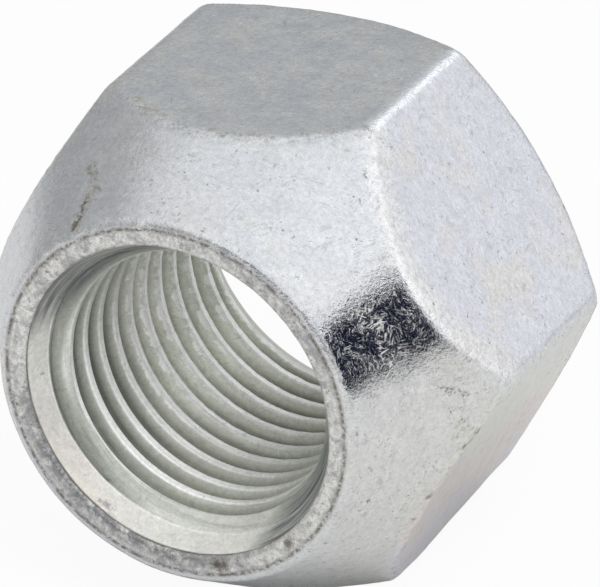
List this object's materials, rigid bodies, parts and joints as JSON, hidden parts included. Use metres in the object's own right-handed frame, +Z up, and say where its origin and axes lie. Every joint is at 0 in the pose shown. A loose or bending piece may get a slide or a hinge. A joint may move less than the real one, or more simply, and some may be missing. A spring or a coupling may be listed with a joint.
{
  "type": "lug nut",
  "caption": "Open-end hexagonal lug nut with a 60 degree conical seat, a fine right-hand through thread and a chamfered back face, in pale zinc plated steel.",
  "frame": {"origin": "middle of the nut on the thread axis, half way between the rim and the back face", "axes": "+Z up, square to the flat that it lies on; -Y along the thread axis towards the rim and the conical seat; +X to the right, through two of the long corners"},
  "size_m": [0.0236, 0.0158, 0.0206],
  "materials": {
    "zinc_plate": "bright zinc plate with a faint blue and iridescent tint, scuffed, with dark specks at the rim"
  },
  "bodies": {
    "root": {"lug_nut": "zinc_plate"}
  },
  "joints": []
}
